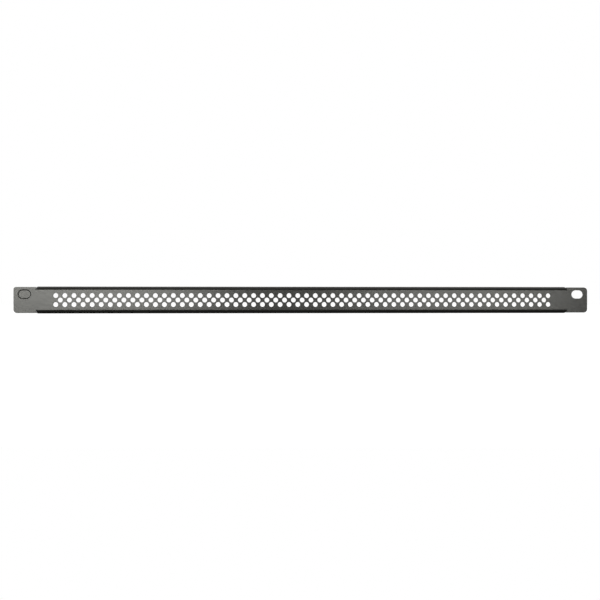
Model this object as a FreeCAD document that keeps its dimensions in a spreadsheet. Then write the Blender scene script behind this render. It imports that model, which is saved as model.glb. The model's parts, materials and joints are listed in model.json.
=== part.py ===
import FreeCAD, Part
import math
import os
import Sketcher

# Vented blanking panel for half a unit of a 19-inch rack, folded from one sheet of steel.
#
# A flat front sheet ends in an ear at each side. Between the ears its top and bottom edges
# are folded back into two flanges, and three staggered rows of round vents run along the
# middle. The right ear's rack slot is punched through. The left ear's slot is only
# half-sheared: the punch has pushed its slug back by part of the sheet, and the slug stays
# on until someone knocks it out.
#
# Inside the body, X runs along the panel, Z is up from its middle line, the front faces -Y
# and Y = 0 is the back of the front sheet, which lies against the rack. The body is then
# lowered so that the part's origin is midway between the two slots, on that plane.

V = FreeCAD.Vector
START, END, CENTRE = range(1, 4)
ACROSS_AXIS, UP_AXIS = range(-1, -3, -1)
SKETCH_ORIGIN = (ACROSS_AXIS, START)
TOUCHING = 0.001

document = FreeCAD.newDocument("rack_blanking_panel")

# Driving sizes in millimetres. Each is set by itself.
DRIVING_SIZES = (
    ("overall_length", 482.6, "over both ears"),
    ("panel_height", 22.2, "over both folds"),
    ("flange_depth", 12.0, "from the front face to the flanges' free edges"),
    ("sheet_gauge", 1.5, "thickness of the steel"),
    ("bend_inner_radius", 1.5, "inside each fold"),
    ("ear_width", 17.6, "from the end of the folds to the panel's end"),
    ("ear_setback", 0.4, "from the folded outside to an ear's long edge"),
    ("ear_corner_radius", 3.0, "three of the four outer corners"),
    ("tight_corner_radius", 2.0, "the upper corner above the knock-out"),
    ("fold_end_slant", 1.6, "how far a fold's end leans inwards over its outer radius"),
    ("relief_width", 0.15, "of the cut that parts each fold from the ear"),
    ("slot_end_margin", 8.75, "from a slot's centre to the panel's end"),
    ("slot_drop", 6.34, "from the folded top to the slots' centres"),
    ("slot_length", 10.0, "end to end"),
    ("slot_width", 7.0, "between the straight sides"),
    ("knockout_push", 1.0, "how far the left slot's slug is pushed back"),
    ("knockout_roll", 0.5, "radius of its edges, rolled over by the punch and the die"),
    ("vent_diameter", 4.0, "of each vent"),
    ("vent_pitch", 7.4, "from vent to vent in one row"),
    ("vent_row_spacing", 3.7, "from row to row"),
    ("vent_end_margin", 15.0, "least, from the last vent's centre to the folds' end"),
)

# Sizes worked out from those, kept beside them so that sketches and features share them.
WORKED_OUT_SIZES = (
    ("half_length", "=overall_length / 2"),
    ("half_fold_length", "=half_length - ear_width"),
    ("fold_length", "=2 * half_fold_length"),
    ("half_height", "=panel_height / 2"),
    ("half_ear_height", "=half_height - ear_setback"),
    ("bend_outer_radius", "=bend_inner_radius + sheet_gauge"),
    ("half_flat_height", "=half_height - bend_outer_radius"),
    ("flange_reach", "=flange_depth - sheet_gauge"),
    ("fold_end_inset", "=half_fold_length - fold_end_slant"),
    ("ear_root", "=half_fold_length + relief_width"),
    ("ear_lean", "=fold_end_slant * (half_ear_height - half_flat_height) / bend_outer_radius"),
    ("ear_root_inset", "=ear_root - ear_lean"),
    ("slot_reach", "=half_length - slot_end_margin"),
    ("slot_height", "=half_height - slot_drop"),
    ("slot_radius", "=slot_width / 2"),
    ("slot_far_centre", "=slot_reach + (slot_length - slot_width) / 2"),
    ("slot_near_centre", "=slot_reach - (slot_length - slot_width) / 2"),
    ("vent_columns", "=floor((fold_length - 2 * vent_end_margin) / vent_pitch) + 1"),
    ("vent_start", "=(vent_columns - 1) * vent_pitch / 2"),
    ("middle_columns", "=vent_columns - 1"),
    ("middle_start", "=vent_start - vent_pitch / 2"),
)

sizes = document.addObject("Spreadsheet::Sheet", "sizes")
for row, (name, size, meaning) in enumerate(DRIVING_SIZES, start=1):
    sizes.set(f"A{row}", name)
    sizes.set(f"B{row}", str(size))
    sizes.set(f"C{row}", meaning)
    sizes.setAlias(f"B{row}", name)
for row, (name, formula) in enumerate(WORKED_OUT_SIZES, start=len(DRIVING_SIZES) + 1):
    sizes.set(f"A{row}", name)
    sizes.set(f"B{row}", formula)
    sizes.setAlias(f"B{row}", name)
document.recompute()

body = document.addObject("PartDesign::Body", "panel")
body.Label = "panel"


def size_of(name):
    """The present value of one size in the sheet."""
    return float(sizes.get(name))


def origin_plane(role):
    """The body's own origin plane with this role."""
    return next(plane for plane in body.Origin.OriginFeatures if plane.Role == role)


def new_sketch(name, role):
    """An empty sketch on one of the body's origin planes."""
    sketch = body.newObject("Sketcher::SketchObject", name)
    sketch.AttachmentSupport = [(origin_plane(role), "")]
    sketch.MapMode = "FlatFace"
    return sketch


def tie(sketch, kind, *reference):
    """Add a constraint that has no size."""
    sketch.addConstraint(Sketcher.Constraint(kind, *reference))


def drive(sketch, kind, *reference, size):
    """Add a dimension and bind it to a size in the sheet."""
    number = sketch.addConstraint(Sketcher.Constraint(kind, *reference, size_of(size)))
    sketch.setExpression(f"Constraints[{number}]", f"sizes.{size}")


def draw_line(sketch, start, end):
    """Draw one straight line and return its number."""
    return sketch.addGeometry(Part.LineSegment(V(*start), V(*end)), False)


def draw_outline(sketch, corners):
    """Draw a closed outline of straight lines through the corners and return their numbers."""
    lines = [draw_line(sketch, a, b) for a, b in zip(corners, corners[1:] + corners[:1])]
    for line, following in zip(lines, lines[1:] + lines[:1]):
        tie(sketch, "Coincident", line, END, following, START)
    return lines


def draw_arc(sketch, centre, radius, start_angle, end_angle):
    """Draw an arc, anticlockwise between two angles in degrees, and return its number."""
    circle = Part.Circle(V(*centre), V(0, 0, 1), radius)
    angles = math.radians(start_angle), math.radians(end_angle)
    return sketch.addGeometry(Part.ArcOfCircle(circle, *angles), False)


def add_feature(kind, name, **settings):
    """Add a feature to the body and give it its settings."""
    feature = body.newObject(f"PartDesign::{kind}", name)
    for setting, value in settings.items():
        setattr(feature, setting, value)
    return feature


def edges_where(shape, wanted):
    """The names of a shape's edges that pass a test."""
    return [f"Edge{number}" for number, edge in enumerate(shape.Edges, start=1) if wanted(edge)]


def lies_in(edge, low, high):
    """Whether an edge lies in the box between two corners."""
    box = edge.BoundBox
    reach = ((box.XMin, box.YMin, box.ZMin), (box.XMax, box.YMax, box.ZMax))
    above = all(value > limit - TOUCHING for value, limit in zip(reach[0], low))
    below = all(value < limit + TOUCHING for value, limit in zip(reach[1], high))
    return above and below


# Folded channel: the flat between the ears, its two bends and its two flanges, drawn as one
# section and run along the panel. The bends' inner and outer arcs share their centres, so
# the sheet keeps its gauge round them.
half_height = size_of("half_height")
half_flat = size_of("half_flat_height")
gauge = size_of("sheet_gauge")
inner_radius = size_of("bend_inner_radius")
outer_radius = size_of("bend_outer_radius")
flange_reach = size_of("flange_reach")

section = new_sketch("channel_section", "YZ_Plane")
front = draw_line(section, (-gauge, -half_flat), (-gauge, half_flat))
back = draw_line(section, (0, -half_flat), (0, half_flat))
free_edges = []
for side, flat_end, angles, arc_flat, arc_flange in (
    (1, END, (90, 180), END, START),
    (-1, START, (180, 270), START, END),
):
    outside = side * half_height
    inside = side * (half_height - gauge)
    bend_centre = (inner_radius, side * half_flat)
    outer_bend = draw_arc(section, bend_centre, outer_radius, *angles)
    inner_bend = draw_arc(section, bend_centre, inner_radius, *angles)
    skin = draw_line(section, (inner_radius, outside), (flange_reach, outside))
    lining = draw_line(section, (inner_radius, inside), (flange_reach, inside))
    free_edge = draw_line(section, (flange_reach, outside), (flange_reach, inside))
    tie(section, "Tangent", front, flat_end, outer_bend, arc_flat)
    tie(section, "Tangent", back, flat_end, inner_bend, arc_flat)
    tie(section, "Tangent", skin, START, outer_bend, arc_flange)
    tie(section, "Tangent", lining, START, inner_bend, arc_flange)
    tie(section, "Coincident", outer_bend, CENTRE, inner_bend, CENTRE)
    tie(section, "Coincident", skin, END, free_edge, START)
    tie(section, "Coincident", lining, END, free_edge, END)
    tie(section, "Horizontal", skin)
    tie(section, "Horizontal", lining)
    drive(section, "Radius", inner_bend, size="bend_inner_radius")
    drive(section, "DistanceX", *SKETCH_ORIGIN, free_edge, START, size="flange_reach")
    tie(section, "Vertical", free_edge)
    free_edges.append(free_edge)
tie(section, "Symmetric", front, START, front, END, ACROSS_AXIS)
tie(section, "PointOnObject", back, START, UP_AXIS)
tie(section, "Vertical", back)
drive(section, "DistanceX", front, START, *SKETCH_ORIGIN, size="sheet_gauge")
drive(section, "DistanceY", *SKETCH_ORIGIN, free_edges[0], START, size="half_height")

channel = add_feature("Pad", "folded_channel", Profile=section, SideType="Symmetric")
channel.setExpression("Length", "sizes.fold_length")

# Fold ends: each bend and its flange is cut off on a slant, inwards from the flat.
half_fold = size_of("half_fold_length")
fold_inset = size_of("fold_end_inset")

slant = new_sketch("fold_end_cuts", "XZ_Plane")
upper = draw_outline(slant, [(half_fold, half_flat), (half_fold, half_height), (fold_inset, half_height)])
lower = draw_outline(slant, [(half_fold, -half_flat), (half_fold, -half_height), (fold_inset, -half_height)])
tie(slant, "Vertical", upper[0])
tie(slant, "Horizontal", upper[1])
drive(slant, "DistanceX", *SKETCH_ORIGIN, upper[0], START, size="half_fold_length")
drive(slant, "DistanceX", *SKETCH_ORIGIN, upper[2], START, size="fold_end_inset")
drive(slant, "DistanceY", *SKETCH_ORIGIN, upper[0], START, size="half_flat_height")
drive(slant, "DistanceY", *SKETCH_ORIGIN, upper[1], START, size="half_height")
for above, below in zip(upper, lower):
    tie(slant, "Symmetric", above, START, below, START, ACROSS_AXIS)

fold_ends = add_feature("Pocket", "fold_ends", Profile=slant, Type="ThroughAll", SideType="Symmetric")

# Ear: flat sheet from the channel's end to the panel's end. Above and below the flat its
# root follows the slanted fold end, a narrow relief cut away from it.
half_length = size_of("half_length")
half_ear = size_of("half_ear_height")
ear_root = size_of("ear_root")
root_inset = size_of("ear_root_inset")

ear = new_sketch("ear_outline", "XZ_Plane")
upper_half = [
    (half_length, half_ear),
    (root_inset, half_ear),
    (ear_root, half_flat),
    (half_fold, half_flat),
]
lower_half = [(along, -height) for along, height in reversed(upper_half)]
outline = draw_outline(ear, upper_half + lower_half)
ear_top, lean, root_top, joint = outline[:4]
tie(ear, "Horizontal", ear_top)
tie(ear, "Horizontal", root_top)
for above, below in zip(outline[:4], reversed(outline[4:])):
    tie(ear, "Symmetric", above, START, below, START, ACROSS_AXIS)
drive(ear, "DistanceX", *SKETCH_ORIGIN, ear_top, START, size="half_length")
drive(ear, "DistanceX", *SKETCH_ORIGIN, lean, START, size="ear_root_inset")
drive(ear, "DistanceX", *SKETCH_ORIGIN, root_top, START, size="ear_root")
drive(ear, "DistanceX", *SKETCH_ORIGIN, joint, START, size="half_fold_length")
drive(ear, "DistanceY", *SKETCH_ORIGIN, ear_top, START, size="half_ear_height")
drive(ear, "DistanceY", *SKETCH_ORIGIN, root_top, START, size="half_flat_height")

right_ear = add_feature("Pad", "right_ear", Profile=ear)
right_ear.setExpression("Length", "sizes.sheet_gauge")

left_end = add_feature(
    "Mirrored",
    "left_end",
    Originals=[fold_ends, right_ear],
    MirrorPlane=(origin_plane("YZ_Plane"), [""]),
)
body.Tip = left_end
document.recompute()


def round_edges(name, edges, radius):
    """Round edges of the body so far and bind their radius to a size in the sheet."""
    base = body.Tip
    fillet = add_feature("Fillet", name, Base=(base, edges))
    fillet.setExpression("Radius", f"sizes.{radius}")
    return fillet


# Outer corners: three alike, and a tighter one above the knock-out.
def is_corner(edge, sides):
    """Whether an edge runs through the sheet at an outer corner on one of these sides."""
    return any(
        lies_in(edge, (x, -gauge, z), (x, 0, z))
        for x, z in ((across * half_length, up * half_ear) for across, up in sides)
    )


even_sides = ((1, 1), (1, -1), (-1, -1))
even_edges = edges_where(left_end.Shape, lambda edge: is_corner(edge, even_sides))
even_corners = round_edges("even_corners", even_edges, "ear_corner_radius")
document.recompute()

tight_edges = edges_where(even_corners.Shape, lambda edge: is_corner(edge, ((-1, 1),)))
round_edges("tight_corner", tight_edges, "tight_corner_radius")


# Rack slots: both have the same outline, at the same height and the same distance from
# their end of the panel.
def draw_slot(sketch, side):
    """Draw a slot's outline on the right (side 1) or the left (side -1)."""
    radius = size_of("slot_radius")
    height = size_of("slot_height")
    far = (side * size_of("slot_far_centre"), height)
    near = (side * size_of("slot_near_centre"), height)
    left, right = sorted((near, far))
    right_arc = draw_arc(sketch, right, radius, -90, 90)
    left_arc = draw_arc(sketch, left, radius, 90, 270)
    top = draw_line(sketch, (left[0], height + radius), (right[0], height + radius))
    foot = draw_line(sketch, (left[0], height - radius), (right[0], height - radius))
    tie(sketch, "Tangent", top, START, left_arc, START)
    tie(sketch, "Tangent", top, END, right_arc, END)
    tie(sketch, "Tangent", foot, START, left_arc, END)
    tie(sketch, "Tangent", foot, END, right_arc, START)
    tie(sketch, "Horizontal", top)
    tie(sketch, "Equal", left_arc, right_arc)
    drive(sketch, "Radius", right_arc, size="slot_radius")
    drive(sketch, "DistanceY", *SKETCH_ORIGIN, right_arc, CENTRE, size="slot_height")
    if side > 0:
        drive(sketch, "DistanceX", *SKETCH_ORIGIN, right_arc, CENTRE, size="slot_far_centre")
        drive(sketch, "DistanceX", *SKETCH_ORIGIN, left_arc, CENTRE, size="slot_near_centre")
    else:
        drive(sketch, "DistanceX", left_arc, CENTRE, *SKETCH_ORIGIN, size="slot_far_centre")
        drive(sketch, "DistanceX", right_arc, CENTRE, *SKETCH_ORIGIN, size="slot_near_centre")


open_slot = new_sketch("open_slot_outline", "XZ_Plane")
draw_slot(open_slot, 1)
rack_slot = add_feature("Pocket", "rack_slot", Profile=open_slot, Type="ThroughAll", SideType="Symmetric")

# Knock-out: the left slot's slug, pushed back by part of the gauge and still joined to the
# sheet by the rest. Its mouth at the front and its rim at the back are rolled over.
pushed_in = new_sketch("knockout_mouth", "XZ_Plane")
pushed_in.setExpression(".AttachmentOffset.Base.z", "sizes.sheet_gauge")
draw_slot(pushed_in, -1)
recess = add_feature("Pocket", "knockout_recess", Profile=pushed_in)
recess.setExpression("Length", "sizes.knockout_push")

pushed_out = new_sketch("knockout_rim", "XZ_Plane")
draw_slot(pushed_out, -1)
slug = add_feature("Pad", "knockout_slug", Profile=pushed_out, Reversed=True)
slug.setExpression("Length", "sizes.knockout_push")
document.recompute()

slot_outer = size_of("slot_reach") + size_of("slot_length") / 2
slot_inner = size_of("slot_reach") - size_of("slot_length") / 2
slot_foot = size_of("slot_height") - size_of("slot_radius")
slot_top = size_of("slot_height") + size_of("slot_radius")
rolled_edges = [
    name
    for depth in (-gauge, size_of("knockout_push"))
    for name in edges_where(
        slug.Shape,
        lambda edge: lies_in(edge, (-slot_outer, depth, slot_foot), (-slot_inner, depth, slot_top)),
    )
]
round_edges("knockout_rolls", rolled_edges, "knockout_roll")

# Vents: two rows in line with each other, and between them a row moved on by half a pitch.
# As many columns as fit between the folds' ends, centred on the panel.
vent_radius = size_of("vent_diameter") / 2
vent_start = size_of("vent_start")
row_spacing = size_of("vent_row_spacing")


def draw_vent(sketch, along, height):
    """Draw one vent and return its number."""
    return sketch.addGeometry(Part.Circle(V(along, height), V(0, 0, 1), vent_radius), False)


def punch_row(name, sketch, columns):
    """Punch a sketch's vents through the sheet and repeat them along the panel."""
    punch = add_feature("Pocket", f"{name}_punch", Profile=sketch, Type="ThroughAll", SideType="Symmetric")
    row = add_feature("LinearPattern", name, Originals=[punch], Direction=(sketch, ["H_Axis"]))
    row.Mode = "Spacing"
    row.setExpression("Offset", "sizes.vent_pitch")
    row.setExpression("Occurrences", f"sizes.{columns}")
    body.Tip = row


outer_vents = new_sketch("outer_vents", "XZ_Plane")
upper_vent = draw_vent(outer_vents, -vent_start, row_spacing)
lower_vent = draw_vent(outer_vents, -vent_start, -row_spacing)
tie(outer_vents, "Equal", upper_vent, lower_vent)
tie(outer_vents, "Symmetric", upper_vent, CENTRE, lower_vent, CENTRE, ACROSS_AXIS)
drive(outer_vents, "Diameter", upper_vent, size="vent_diameter")
drive(outer_vents, "DistanceX", upper_vent, CENTRE, *SKETCH_ORIGIN, size="vent_start")
drive(outer_vents, "DistanceY", *SKETCH_ORIGIN, upper_vent, CENTRE, size="vent_row_spacing")
punch_row("outer_rows", outer_vents, "vent_columns")

middle_vents = new_sketch("middle_vents", "XZ_Plane")
middle_vent = draw_vent(middle_vents, -size_of("middle_start"), 0)
tie(middle_vents, "PointOnObject", middle_vent, CENTRE, ACROSS_AXIS)
drive(middle_vents, "Diameter", middle_vent, size="vent_diameter")
drive(middle_vents, "DistanceX", middle_vent, CENTRE, *SKETCH_ORIGIN, size="middle_start")
punch_row("middle_row", middle_vents, "middle_columns")

body.setExpression(".Placement.Base.z", "-sizes.slot_height")
document.recompute()

# Every object has to be up to date and every cut has to remove material before the panel is
# written.
for item in document.Objects:
    if "Invalid" in item.State or "Error" in item.State:
        raise RuntimeError(f"{item.Name} failed: {item.State}")
for feature in body.Group:
    if feature.isDerivedFrom("PartDesign::Pocket"):
        if feature.Shape.Volume >= feature.BaseFeature.Shape.Volume:
            raise RuntimeError(f"{feature.Name} cuts nothing")
if body.Shape.isNull() or not body.Shape.isValid() or len(body.Shape.Solids) != 1:
    raise RuntimeError("the panel isn't one valid solid")

os.makedirs("parts", exist_ok=True)
body.Shape.exportStep(f"parts/{body.Label}.step")
print(f"{body.Label}: volume {body.Shape.Volume:.1f} mm3, box {body.Shape.BoundBox}")
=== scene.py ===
import json
import math

import bmesh
import bpy
from mathutils import Matrix, Vector


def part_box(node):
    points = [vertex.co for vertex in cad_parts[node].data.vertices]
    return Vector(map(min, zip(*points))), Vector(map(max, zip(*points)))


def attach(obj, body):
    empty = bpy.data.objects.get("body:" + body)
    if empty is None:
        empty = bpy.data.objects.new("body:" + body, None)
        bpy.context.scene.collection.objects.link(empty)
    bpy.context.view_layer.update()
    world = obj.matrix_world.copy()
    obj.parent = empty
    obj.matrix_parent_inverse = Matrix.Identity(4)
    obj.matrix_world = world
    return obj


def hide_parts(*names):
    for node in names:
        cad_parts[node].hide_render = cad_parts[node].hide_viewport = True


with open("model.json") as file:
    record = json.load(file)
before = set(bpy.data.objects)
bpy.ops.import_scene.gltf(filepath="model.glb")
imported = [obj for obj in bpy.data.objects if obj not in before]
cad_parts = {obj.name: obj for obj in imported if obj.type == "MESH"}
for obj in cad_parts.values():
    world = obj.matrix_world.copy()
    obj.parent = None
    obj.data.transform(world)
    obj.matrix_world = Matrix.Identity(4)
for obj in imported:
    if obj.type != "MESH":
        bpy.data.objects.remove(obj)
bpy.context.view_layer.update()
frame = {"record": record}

# Blank ------------------------------------------------------------------------------
# The whole panel is one blank of 1.5 mm mild steel sheet. A punch press cuts its outline,
# three staggered rows of round vents and the rack slots while it is still flat, and a
# narrow relief at each end parts the strips that will be folded from the ears.
MM = 0.001
panel_low, panel_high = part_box("panel")
middle = (panel_low.z + panel_high.z) / 2
half_length = panel_high.x
half_height = panel_high.z - middle
flange_reach = panel_high.y
gauge = -panel_low.y

bend_inner_radius = 1.5 * MM
bend_outer_radius = bend_inner_radius + gauge
neutral_radius = bend_inner_radius + gauge / 2
bend_length = neutral_radius * math.pi / 2
half_flat = half_height - bend_outer_radius
blank_reach = half_flat + bend_length + flange_reach - bend_inner_radius

ear_width = 17.6 * MM
ear_setback = 0.4 * MM
fold_end = half_length - ear_width
relief_width = 0.15 * MM
ear_root = fold_end + relief_width
half_ear = half_height - ear_setback
ear_corner_radius = 3.0 * MM
tight_corner_radius = 2.0 * MM
corner_steps = 10

edge_round = 0.15 * MM
edge_round_rings = 2


def arc(centre, radius, start, end, steps):
    """Points along an arc between two angles in degrees."""
    across, up = centre
    angles = [math.radians(start + (end - start) * step / steps) for step in range(steps + 1)]
    return [(across + radius * math.cos(turn), up + radius * math.sin(turn)) for turn in angles]


def end_outline(upper_radius):
    """The blank's right end, from its upper strip round the ear to its lower strip."""
    upper_centre = (half_length - upper_radius, half_ear - upper_radius)
    lower_centre = (half_length - ear_corner_radius, ear_corner_radius - half_ear)
    upper_root = [
        (fold_end, blank_reach),
        (fold_end, half_flat),
        (ear_root, half_flat),
        (ear_root, half_ear),
    ]
    lower_root = [(across, -up) for across, up in reversed(upper_root)]
    upper_corner = arc(upper_centre, upper_radius, 90, 0, corner_steps)
    lower_corner = arc(lower_centre, ear_corner_radius, 0, -90, corner_steps)
    return upper_root + upper_corner + lower_corner + lower_root


def add_outline(curve, points):
    """Add one closed outline to a flat curve."""
    outline = curve.splines.new("POLY")
    outline.points.add(len(points) - 1)
    outline.use_cyclic_u = True
    for point, place in zip(outline.points, points):
        point.co = (*place, 0, 1)


blank_curve = bpy.data.curves.new("blank", "CURVE")
blank_curve.dimensions = "2D"
blank_curve.fill_mode = "BOTH"
blank_curve.extrude = gauge / 2 - edge_round
blank_curve.bevel_depth = edge_round
blank_curve.bevel_resolution = edge_round_rings
blank_curve.offset = -edge_round

left_end = [(-across, up) for across, up in reversed(end_outline(tight_corner_radius))]
add_outline(blank_curve, end_outline(ear_corner_radius) + left_end)

vent_radius = 2.0 * MM
vent_pitch = 7.4 * MM
vent_row_spacing = 3.7 * MM
vent_end_margin = 15.0 * MM
vent_steps = 32
vent_columns = math.floor(2 * (fold_end - vent_end_margin) / vent_pitch) + 1
for row, columns in ((1, vent_columns), (0, vent_columns - 1), (-1, vent_columns)):
    for column in range(columns):
        across = (column - (columns - 1) / 2) * vent_pitch
        vent = arc((across, row * vent_row_spacing), vent_radius, 0, 360, vent_steps)
        add_outline(blank_curve, vent[:-1])

rack_slots = next(mount for mount in frame["record"]["mounts"] if mount["name"] == "rack_slots")
slot_across = rack_slots["dims"]["spacing_x_mm"] * MM / 2
slot_radius = rack_slots["dims"]["hole_r_mm"] * MM
slot_straight = rack_slots["dims"]["slot_length_mm"] * MM / 2 - slot_radius
slot_steps = 20


def slot_outline(across, radius):
    """A slot's outline round its place on one ear."""
    right_end = arc((across + slot_straight, -middle), radius, -90, 90, slot_steps)
    left_end = arc((across - slot_straight, -middle), radius, 90, 270, slot_steps)
    return right_end + left_end


knockout_roll = 0.5 * MM
mouth_radius = slot_radius + knockout_roll
add_outline(blank_curve, slot_outline(slot_across, slot_radius))
add_outline(blank_curve, slot_outline(-slot_across, mouth_radius - edge_round))

blank_object = bpy.data.objects.new("blank", blank_curve)
bpy.context.scene.collection.objects.link(blank_object)
panel_mesh = bpy.data.meshes.new_from_object(blank_object)
bpy.data.objects.remove(blank_object)
stand_up = Matrix.Translation((0, -gauge / 2, 0)) @ Matrix.Rotation(math.radians(90), 4, "X")
panel_mesh.transform(stand_up)

MERGE_DISTANCE = 0.001 * MM
sheet = bmesh.new()
sheet.from_mesh(panel_mesh)
bmesh.ops.remove_doubles(sheet, verts=sheet.verts, dist=MERGE_DISTANCE)
bmesh.ops.recalc_face_normals(sheet, faces=sheet.faces)

# Knock-out --------------------------------------------------------------------------
# The left rack slot is only half-sheared: the punch pushes its slug back by part of the
# gauge and leaves it attached. The mouth at the front and the slug's rim at the back are
# rolled over, and the coat gathers as a fillet at the foot of each step.
knockout_push = 1.0 * MM
knockout_fillet = 0.4 * MM
roll_steps = 6

mouth_reach = slot_straight + mouth_radius
punched_wall = [
    face
    for face in sheet.faces
    if all(
        abs(corner.co.x + slot_across) < mouth_reach + MERGE_DISTANCE
        and abs(corner.co.z + middle) < mouth_radius + MERGE_DISTANCE
        for corner in face.verts
    )
]
bmesh.ops.delete(sheet, geom=punched_wall, context="FACES")


def close_mouth(depth):
    """Fill the knock-out's open outline that lies at this depth, and return the new face."""
    rim = [
        edge
        for edge in sheet.edges
        if edge.is_boundary and abs(edge.verts[0].co.y - depth) < edge_round / 2
    ]
    return bmesh.ops.contextual_create(sheet, geom=rim)["faces"][0]


def quarter_round(radius):
    """A quarter circle as steps along its first direction and then its second."""
    turns = [math.pi / 2 * step / roll_steps for step in range(roll_steps + 1)]
    return [
        (radius * (math.sin(b) - math.sin(a)), radius * (math.cos(a) - math.cos(b)))
        for a, b in zip(turns, turns[1:])
    ]


def press(face, steps):
    """Inset a face and move it along its normal, step by step."""
    for inwards, outwards in steps:
        bmesh.ops.inset_region(sheet, faces=[face], thickness=inwards, depth=outwards, use_even_offset=True)


mouth = close_mouth(-gauge)
rim = close_mouth(0)
bmesh.ops.recalc_face_normals(sheet, faces=sheet.faces)
mouth_steps = [(inwards, -deeper) for inwards, deeper in quarter_round(knockout_roll)]
mouth_steps += [(0, -(knockout_push - knockout_roll - knockout_fillet))]
mouth_steps += [(inwards, -deeper) for deeper, inwards in quarter_round(knockout_fillet)]
rim_steps = [(knockout_roll - knockout_fillet, 0)]
rim_steps += quarter_round(knockout_fillet)
rim_steps += [(0, knockout_push - knockout_roll - knockout_fillet)]
rim_steps += [(inwards, further) for further, inwards in quarter_round(knockout_roll)]
press(mouth, mouth_steps)
press(rim, rim_steps)

# Folds ------------------------------------------------------------------------------
# A press brake folds the two long strips back through a right angle over a small nose
# radius, which gives the panel its stiffness. The ends of the folds lean inwards, and the
# ears' roots follow them.
bend_steps = 16
FACES_ALONG_SHEET = 0.999
FLAT_ANGLE = math.radians(0.5)
fold_end_slant = 1.6 * MM
relief_middle = fold_end + relief_width / 2

sheet.normal_update()
coat_normal = sheet.verts.layers.float_vector.new("coat_normal")
for vertex in sheet.verts:
    flat = [face.normal for face in vertex.link_faces if abs(face.normal.y) > FACES_ALONG_SHEET]
    vertex[coat_normal] = flat[0] if flat else vertex.normal


def in_strip(vertex, side):
    """Whether a vertex lies in the strip that is folded on this side."""
    return abs(vertex.co.x) < relief_middle and side * vertex.co.z > half_flat - MERGE_DISTANCE


for side in (1, -1):
    for step in range(bend_steps + 1):
        reaches = all if step else any
        faces = [
            face
            for face in sheet.faces
            if reaches(in_strip(corner, side) for corner in face.verts)
        ]
        edges = dict.fromkeys(edge for face in faces for edge in face.edges)
        corners = dict.fromkeys(corner for face in faces for corner in face.verts)
        line = Vector((0, 0, side * (half_flat + bend_length * step / bend_steps)))
        bmesh.ops.bisect_plane(
            sheet,
            geom=[*corners, *edges, *faces],
            plane_co=line,
            plane_no=(0, 0, side),
            dist=MERGE_DISTANCE,
        )

for side in (1, -1):
    strip = [vertex for vertex in sheet.verts if in_strip(vertex, side)]
    strip_edges = [
        edge
        for edge in sheet.edges
        if all(in_strip(corner, side) for corner in edge.verts)
    ]
    for vertex in strip:
        past = max(side * vertex.co.z - half_flat, 0)
        turn = min(past / neutral_radius, math.pi / 2)
        turned = Matrix.Rotation(-side * turn, 3, "X")
        pivot = Vector((vertex.co.x, bend_inner_radius, side * half_flat))
        straight = Vector((0, max(past - bend_length, 0), 0))
        vertex.co = pivot + turned @ Vector((0, vertex.co.y - bend_inner_radius, 0)) + straight
        vertex[coat_normal] = turned @ vertex[coat_normal]
    bmesh.ops.dissolve_limit(
        sheet,
        angle_limit=FLAT_ANGLE,
        use_dissolve_boundaries=False,
        verts=strip,
        edges=strip_edges,
    )

for vertex in sheet.verts:
    past = abs(vertex.co.z) - half_flat
    near_relief = fold_end - edge_round < abs(vertex.co.x) + MERGE_DISTANCE
    if past > 0 and near_relief and abs(vertex.co.x) < ear_root + edge_round + MERGE_DISTANCE:
        vertex.co.x -= math.copysign(fold_end_slant * past / bend_outer_radius, vertex.co.x)

sheet.to_mesh(panel_mesh)
sheet.free()
panel_mesh.transform(Matrix.Translation((0, 0, middle)))
panel_mesh.shade_smooth()
panel_mesh.normals_split_custom_set_from_vertices(
    [normal.vector for normal in panel_mesh.attributes["coat_normal"].data]
)
panel_mesh.attributes.remove(panel_mesh.attributes["coat_normal"])

panel = bpy.data.objects.new("vented_panel", panel_mesh)
bpy.context.scene.collection.objects.link(panel)
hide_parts("panel")
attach(panel, "root")


# Powder coat ------------------------------------------------------------------------
# Satin black polyester powder, sprayed on after folding and baked: an even, slightly warm
# black with a broad soft sheen. Its ripple, called orange peel, is drawn 3 mm across,
# coarser than the real one, which is too fine to show.
def linear(colour):
    """An sRGB hex colour as linear red, green, blue and alpha."""
    channels = [int(colour[place:place + 2], 16) / 255 for place in (1, 3, 5)]
    return [*(c / 12.92 if c <= 0.04045 else ((c + 0.055) / 1.055) ** 2.4 for c in channels), 1.0]


def add_node(tree, kind, inputs=(), **settings):
    """Add a node. Each input is a value, or an output of another node to link."""
    node = tree.nodes.new(kind)
    for name, setting in settings.items():
        setattr(node, name, setting)
    for name, value in dict(inputs).items():
        if isinstance(value, bpy.types.NodeSocket):
            tree.links.new(value, node.inputs[name])
        else:
            node.inputs[name].default_value = value
    return node


satin_powder = bpy.data.materials.new("satin_black_powder_coat")
satin_powder.use_nodes = True
coat = satin_powder.node_tree
coat_shader = coat.nodes["Principled BSDF"]
coat_ior = 1.5
coat_shader.inputs["IOR"].default_value = coat_ior
coat_shader.inputs["Specular Tint"].default_value = linear("#fffff8")

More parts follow.
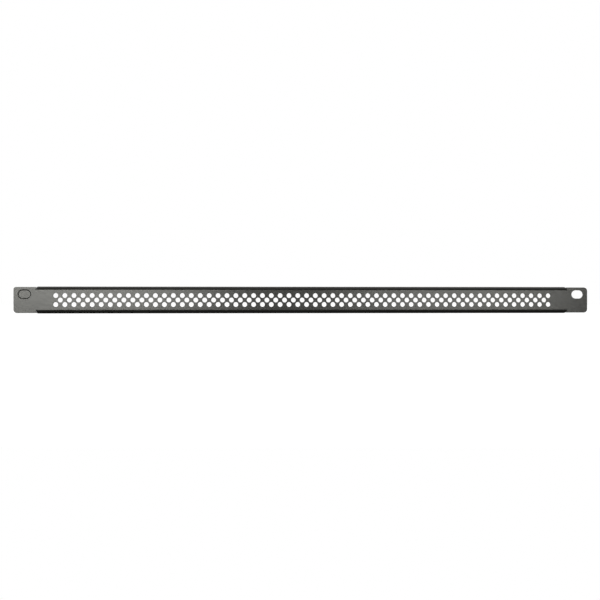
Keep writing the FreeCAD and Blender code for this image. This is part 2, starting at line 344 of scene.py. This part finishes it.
peel_size = 3.0 * MM
peel_height = 0.025 * MM
cloud_size = 24 * MM
glossiest = 0.22
dullest = 0.26
place = add_node(coat, "ShaderNodeTexCoord").outputs["Object"]
clouds = add_node(
    coat,
    "ShaderNodeTexNoise",
    {"Vector": place, "Scale": 1 / cloud_size, "Detail": 3.0},
)
tint = add_node(coat, "ShaderNodeValToRGB", {"Fac": clouds.outputs["Fac"]})
tint.color_ramp.elements[0].color = linear("#20201f")
tint.color_ramp.elements[1].color = linear("#262624")
sheen = add_node(
    coat,
    "ShaderNodeMapRange",
    {"Value": clouds.outputs["Fac"], "To Min": glossiest, "To Max": dullest},
)
peel = add_node(coat, "ShaderNodeTexNoise", {"Vector": place, "Scale": 1 / peel_size, "Detail": 1.0})
ripple = add_node(
    coat,
    "ShaderNodeBump",
    {"Height": peel.outputs["Fac"], "Distance": peel_height, "Strength": 1.0},
)
coat.links.new(tint.outputs["Color"], coat_shader.inputs["Base Color"])
coat.links.new(sheen.outputs["Result"], coat_shader.inputs["Roughness"])
coat.links.new(ripple.outputs["Normal"], coat_shader.inputs["Normal"])
panel_mesh.materials.clear()
panel_mesh.materials.append(satin_powder)

# Studio -----------------------------------------------------------------------------
# A pale floor, a white surround, and two low soft boxes in front of the panel, one on each
# side of the camera with a dark gap between them. Weaker boxes behind, beside and above
# the panel keep its back, ends and flanges from going black.
floor_reach = 4.0
floor_glow = 0.96
surround_on_panel = 0.16

floor_mesh = bpy.data.meshes.new("floor")
floor_build = bmesh.new()
bmesh.ops.create_grid(floor_build, x_segments=1, y_segments=1, size=floor_reach)
floor_build.to_mesh(floor_mesh)
floor_build.free()
floor_mesh.transform(Matrix.Translation((0, 0, panel_low.z)))
floor = bpy.data.objects.new("floor", floor_mesh)
bpy.context.scene.collection.objects.link(floor)

paper = bpy.data.materials.new("pale_paper")
paper.use_nodes = True
paper_tree = paper.node_tree
paper_shader = paper_tree.nodes["Principled BSDF"]
paper_shader.inputs["Base Color"].default_value = linear("#7c7c7c")
paper_shader.inputs["Roughness"].default_value = 1.0
paper_shader.inputs["Specular IOR Level"].default_value = 0.0
paper_shader.inputs["Emission Color"].default_value = linear("#ffffff")
seen = add_node(paper_tree, "ShaderNodeLightPath").outputs["Is Camera Ray"]
glow = add_node(paper_tree, "ShaderNodeMath", operation="MULTIPLY")
paper_tree.links.new(seen, glow.inputs[0])
glow.inputs[1].default_value = floor_glow
paper_tree.links.new(glow.outputs["Value"], paper_shader.inputs["Emission Strength"])
floor_mesh.materials.append(paper)

surround = bpy.data.worlds.new("studio")
bpy.context.scene.world = surround
surround.use_nodes = True
surround_tree = surround.node_tree
surround_shader = surround_tree.nodes["Background"]
seen = add_node(surround_tree, "ShaderNodeLightPath").outputs["Is Camera Ray"]
level = add_node(
    surround_tree,
    "ShaderNodeMapRange",
    {"Value": seen, "To Min": surround_on_panel, "To Max": 1.0},
)
surround_shader.inputs["Color"].default_value = linear("#ffffff")
surround_tree.links.new(level.outputs["Result"], surround_shader.inputs["Strength"])


def soft_box(name, place, aim, width, height, brightness):
    """A rectangular soft light at a place, facing another. A brightness of 1 is plain white."""
    lamp = bpy.data.lights.new(name, "AREA")
    lamp.shape = "RECTANGLE"
    lamp.size = width
    lamp.size_y = height
    lamp.energy = brightness * math.pi * width * height
    holder = bpy.data.objects.new(name, lamp)
    holder.location = place
    holder.rotation_euler = (Vector(aim) - Vector(place)).to_track_quat("-Z", "Y").to_euler()
    bpy.context.scene.collection.objects.link(holder)


for name, across, away, width, height, brightness in (
    ("left_soft_box", -0.31, -1.2, 0.54, 0.20, 11.5),
    ("right_soft_box", 0.408, -1.2, 0.405, 0.10, 11.8),
    ("back_soft_box", 0.0, 1.6, 2.4, 0.60, 1.6),
):
    up = panel_low.z + height / 2
    soft_box(name, (across, away, up), (across, 0, up), width, height, brightness)
soft_box("left_fill", (-1.6, -0.6, 0.5), (0, 0, 0), 0.8, 0.8, 3.0)
soft_box("right_fill", (1.6, -0.6, 0.5), (0, 0, 0), 0.8, 0.8, 1.0)
soft_box("top_fill", (0.3, 0.1, 1.2), (0.3, 0, 0), 2.0, 1.4, 0.7)

camera_across = -116.7 * MM
camera_distance = 1100 * MM
camera_aim_across = -5.43 * MM
camera_lens = 79.2
camera_place = Vector((camera_across, -camera_distance, middle))
camera_aim = Vector((camera_aim_across, 0, middle))
camera_data = bpy.data.cameras.new("camera")
camera_data.lens = camera_lens
camera = bpy.data.objects.new("camera", camera_data)
camera.location = camera_place
camera.rotation_euler = (camera_aim - camera_place).to_track_quat("-Z", "Y").to_euler()
bpy.context.scene.collection.objects.link(camera)
bpy.context.scene.camera = camera

bpy.context.scene.view_settings.view_transform = "Standard"
